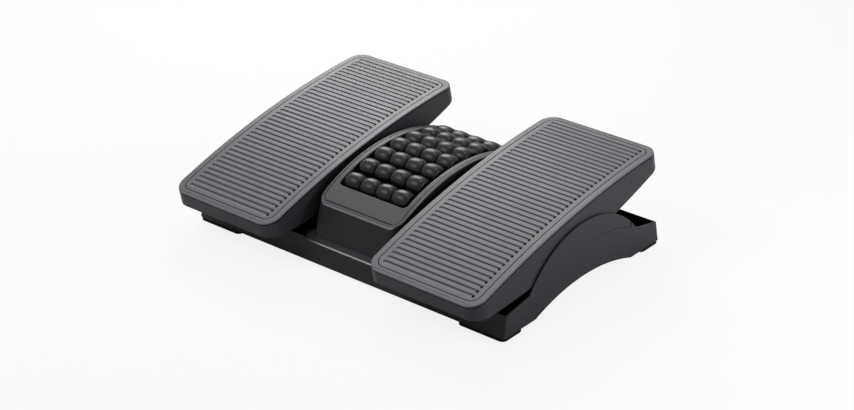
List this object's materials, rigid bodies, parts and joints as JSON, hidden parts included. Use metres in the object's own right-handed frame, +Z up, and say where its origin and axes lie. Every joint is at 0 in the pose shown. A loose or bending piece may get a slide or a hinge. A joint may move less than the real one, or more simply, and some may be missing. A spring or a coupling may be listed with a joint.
{
  "type": "tilting footrest",
  "caption": "Under-desk footrest with tilting foot pedals on each side of a bank of massage rollers, on a black moulded tray with rubber feet.",
  "frame": {"origin": "on the floor, under the middle of the whole footrest's box", "axes": "+X across the footrest to the user's right, +Y from the heel side to the toe side, +Z up"},
  "size_m": [0.551, 0.3938, 0.1381],
  "materials": {
    "tray": "satin black",
    "pedal": "satin charcoal",
    "mat": "fine matt grain",
    "housing": "satin black",
    "cover": "fine matt grain",
    "roller": "satin black",
    "rubber": "matt black",
    "nylon": "natural white",
    "steel": "drawn bar"
  },
  "bodies": {
    "base": {"base_tray": "tray", "front_left_foot": "rubber", "front_right_foot": "rubber", "rear_left_foot": "rubber", "rear_right_foot": "rubber", "roller_housing": "housing", "roller_cover": "cover", "housing_screw_1": "steel", "housing_screw_2": "steel", "housing_screw_3": "steel", "housing_screw_4": "steel", "roller_axle_1": "steel", "roller_axle_2": "steel", "roller_axle_3": "steel", "roller_axle_4": "steel", "roller_axle_5": "steel", "roller_axle_6": "steel", "roller_axle_7": "steel", "left_outer_bush": "nylon", "left_inner_bush": "nylon", "right_outer_bush": "nylon", "right_inner_bush": "nylon", "left_front_bumper": "rubber", "left_rear_bumper": "rubber", "right_front_bumper": "rubber", "right_rear_bumper": "rubber"},
    "left_pedal": {"left_pedal_shell": "pedal", "left_pedal_mat": "mat", "left_pedal_axle": "steel"},
    "right_pedal": {"right_pedal_shell": "pedal", "right_pedal_mat": "mat", "right_pedal_axle": "steel"},
    "massage_roller_1": {"massage_roller_1": "roller"},
    "massage_roller_2": {"massage_roller_2": "roller"},
    "massage_roller_3": {"massage_roller_3": "roller"},
    "massage_roller_4": {"massage_roller_4": "roller"},
    "massage_roller_5": {"massage_roller_5": "roller"},
    "massage_roller_6": {"massage_roller_6": "roller"},
    "massage_roller_7": {"massage_roller_7": "roller"}
  },
  "joints": [
    {"name": "left_pedal_tilt", "type": "hinge", "parent": "base", "child": "left_pedal", "pos_m": [-0.1788, 0.02193, 0.078], "axis": [1, 0, 0], "range_deg": [-23, 0]},
    {"name": "right_pedal_tilt", "type": "hinge", "parent": "base", "child": "right_pedal", "pos_m": [0.1788, 0.02193, 0.078], "axis": [1, 0, 0], "range_deg": [-23, 0]},
    {"name": "massage_roller_1_spin", "type": "hinge", "parent": "base", "child": "massage_roller_1", "pos_m": [0, -0.06791, 0.09623], "axis": [1, 0, 0], "continuous": true},
    {"name": "massage_roller_2_spin", "type": "hinge", "parent": "base", "child": "massage_roller_2", "pos_m": [0, -0.03805, 0.1055], "axis": [1, 0, 0], "continuous": true},
    {"name": "massage_roller_3_spin", "type": "hinge", "parent": "base", "child": "massage_roller_3", "pos_m": [0, -0.00729, 0.11112], "axis": [1, 0, 0], "continuous": true},
    {"name": "massage_roller_4_spin", "type": "hinge", "parent": "base", "child": "massage_roller_4", "pos_m": [0, 0.02392, 0.113], "axis": [1, 0, 0], "continuous": true},
    {"name": "massage_roller_5_spin", "type": "hinge", "parent": "base", "child": "massage_roller_5", "pos_m": [0, 0.05514, 0.11112], "axis": [1, 0, 0], "continuous": true},
    {"name": "massage_roller_6_spin", "type": "hinge", "parent": "base", "child": "massage_roller_6", "pos_m": [0, 0.0859, 0.1055], "axis": [1, 0, 0], "continuous": true},
    {"name": "massage_roller_7_spin", "type": "hinge", "parent": "base", "child": "massage_roller_7", "pos_m": [0, 0.11576, 0.09623], "axis": [1, 0, 0], "continuous": true}
  ]
}
